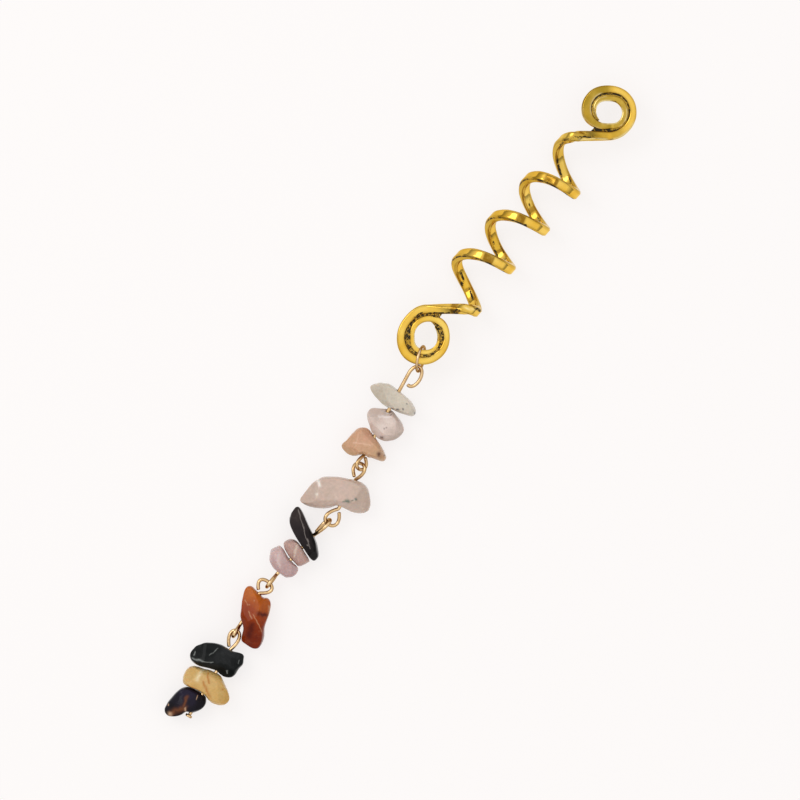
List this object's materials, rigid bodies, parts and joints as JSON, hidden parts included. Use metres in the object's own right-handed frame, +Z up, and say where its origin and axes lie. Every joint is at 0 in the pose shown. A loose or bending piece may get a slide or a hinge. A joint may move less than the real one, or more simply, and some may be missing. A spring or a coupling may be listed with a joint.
{
  "type": "spiral hair ring with stone chip chain",
  "caption": "Cast metal spiral that winds onto a braid or lock of hair, with a flat eye at each end and a chain of drilled stone chips on wire pins hanging from one eye.",
  "frame": {"origin": "middle of the part's outline, on the surface it lies on", "axes": "+Z up, X along the coil towards its free eye, the chain leading off towards -X"},
  "size_m": [0.1206, 0.0208, 0.0086],
  "materials": {
    "cast_gold": "antique gold plate, dark in its grooves",
    "ring_wire": "pale gold plate",
    "pin_wire": "pale gold plate",
    "chip_grey_beige": "tumbled, polished",
    "chip_pink_white": "tumbled, polished",
    "chip_orange_beige": "tumbled, polished",
    "chip_pale_pink": "tumbled, polished",
    "chip_black_veined": "tumbled, polished",
    "chip_clear_pink": "tumbled, polished",
    "chip_lilac_pink": "tumbled, polished",
    "chip_amber": "tumbled, polished",
    "chip_dark_green": "tumbled, polished",
    "chip_honey": "tumbled, polished",
    "chip_blue_black": "tumbled, polished"
  },
  "bodies": {
    "root": {"hair_spiral": "cast_gold", "jump_ring": "ring_wire", "eye_pin_1": "pin_wire", "eye_pin_2": "pin_wire", "eye_pin_3": "pin_wire", "eye_pin_4": "pin_wire", "eye_pin_5": "pin_wire", "chip_1": "chip_grey_beige", "chip_2": "chip_pink_white", "chip_3": "chip_orange_beige", "chip_4": "chip_pale_pink", "chip_5": "chip_black_veined", "chip_6": "chip_clear_pink", "chip_7": "chip_lilac_pink", "chip_8": "chip_amber", "chip_9": "chip_dark_green", "chip_10": "chip_honey", "chip_11": "chip_blue_black"}
  },
  "joints": []
}
